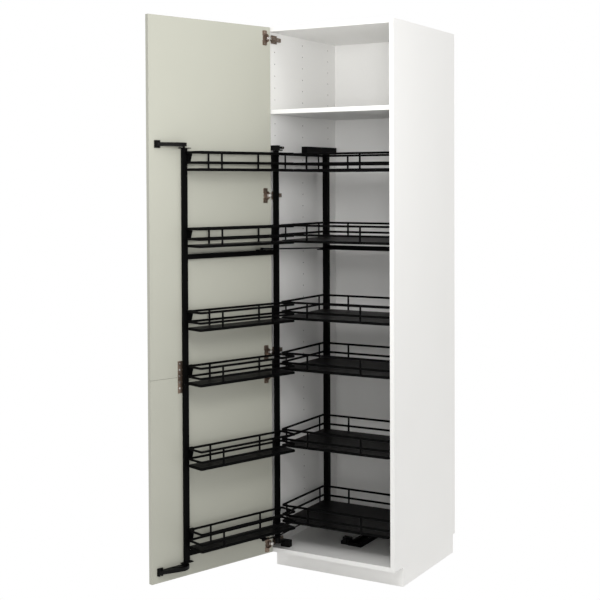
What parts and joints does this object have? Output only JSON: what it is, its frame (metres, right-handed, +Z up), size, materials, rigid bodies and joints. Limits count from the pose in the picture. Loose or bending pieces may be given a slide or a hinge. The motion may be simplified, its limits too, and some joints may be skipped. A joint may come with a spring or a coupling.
{
  "type": "pull-out kitchen cabinet",
  "caption": "Tall larder cabinet with an open hinged door that swings a front frame of wire trays aside while coupled inner trays slide forward.",
  "frame": {"origin": "on the floor under the middle of the front plinth board, at the board's mid thickness", "axes": "+X to the right along the front, +Y from the front into the cabinet, +Z up; drawn with the door open"},
  "size_m": [0.7764, 1.173, 2.28],
  "materials": {
    "white_board": "white melamine faced board, satin",
    "door_board": "light greige lacquered board, satin",
    "bronze_steel": "dark bronze, satin",
    "dark_steel": "anthracite powder coat, satin",
    "black_plastic": "black, fine matt",
    "tray_board": "anthracite board, matt"
  },
  "bodies": {
    "cabinet": {"side_panel_left": "white_board", "side_panel_right": "white_board", "top_panel": "white_board", "bottom_panel": "white_board", "back_panel": "white_board", "fixed_shelf": "white_board", "plinth_front": "white_board", "plinth_left": "white_board", "plinth_right": "white_board", "plinth_rear": "white_board", "hinge_arms": "bronze_steel", "pivot_bracket_top": "black_plastic", "pivot_bracket_bottom": "black_plastic", "top_guide": "dark_steel", "floor_runner": "dark_steel", "runner_stop": "black_plastic"},
    "hinge_links": {"hinge_links": "bronze_steel"},
    "door": {"door_upper": "door_board", "door_lower": "door_board", "hinge_cups": "bronze_steel", "joining_plate": "bronze_steel", "guide_arm_top": "black_plastic", "guide_arm_bottom": "black_plastic"},
    "front_frame": {"front_post_pivot": "dark_steel", "front_post_outer": "dark_steel", "front_crossbar_top": "dark_steel", "front_crossbar_low": "dark_steel", "front_hooks": "dark_steel", "front_tray_1": "dark_steel", "front_tray_2": "dark_steel", "front_tray_3": "dark_steel", "front_tray_4": "dark_steel", "front_tray_5": "dark_steel", "front_tray_6": "dark_steel", "front_floors": "tray_board"},
    "inner_frame": {"inner_post_left": "dark_steel", "inner_post_right": "dark_steel", "inner_crossbar": "dark_steel", "inner_base_bar": "dark_steel", "slot_plate_top": "dark_steel", "slot_plate_bottom": "dark_steel", "inner_hooks": "dark_steel", "inner_tray_1": "dark_steel", "inner_tray_2": "dark_steel", "inner_tray_3": "dark_steel", "inner_tray_4": "dark_steel", "inner_tray_5": "dark_steel", "inner_tray_6": "dark_steel", "inner_floors": "tray_board", "inner_carriage": "black_plastic", "top_slider": "black_plastic"},
    "coupling_rods": {"coupling_rod_top": "dark_steel", "coupling_rod_bottom": "dark_steel"}
  },
  "joints": [
    {"name": "link_swing", "type": "hinge", "parent": "cabinet", "child": "hinge_links", "pos_m": [-0.273, -0.0858, 0], "axis": [0, 0, 1], "range_deg": [-56.9, 0]},
    {"name": "door_turn", "type": "hinge", "parent": "hinge_links", "child": "door", "pos_m": [-0.27558, -0.10203, 0], "axis": [0, 0, 1], "range_deg": [0, 165.6]},
    {"name": "front_frame_swing", "type": "hinge", "parent": "cabinet", "child": "front_frame", "pos_m": [-0.253, -0.077, 0], "axis": [0, 0, 1], "range_deg": [0, 108.7]},
    {"name": "inner_frame_slide", "type": "slide", "parent": "cabinet", "child": "inner_frame", "axis": [0, 1, 0], "range_m": [0, 0.11054]},
    {"name": "rod_swing", "type": "hinge", "parent": "front_frame", "child": "coupling_rods", "pos_m": [-0.2623, -0.17309, 0], "axis": [0, 0, 1], "range_deg": [-96.32, 0]}
  ],
  "couplings": [
    {"joint": "link_swing", "follows": "front_frame_swing", "ratio": -0.52346},
    {"joint": "door_turn", "follows": "front_frame_swing", "ratio": 1.5235},
    {"joint": "inner_frame_slide", "follows": "front_frame_swing", "m_per_rad": 0.058262},
    {"joint": "rod_swing", "follows": "front_frame_swing", "ratio": -0.88613}
  ]
}
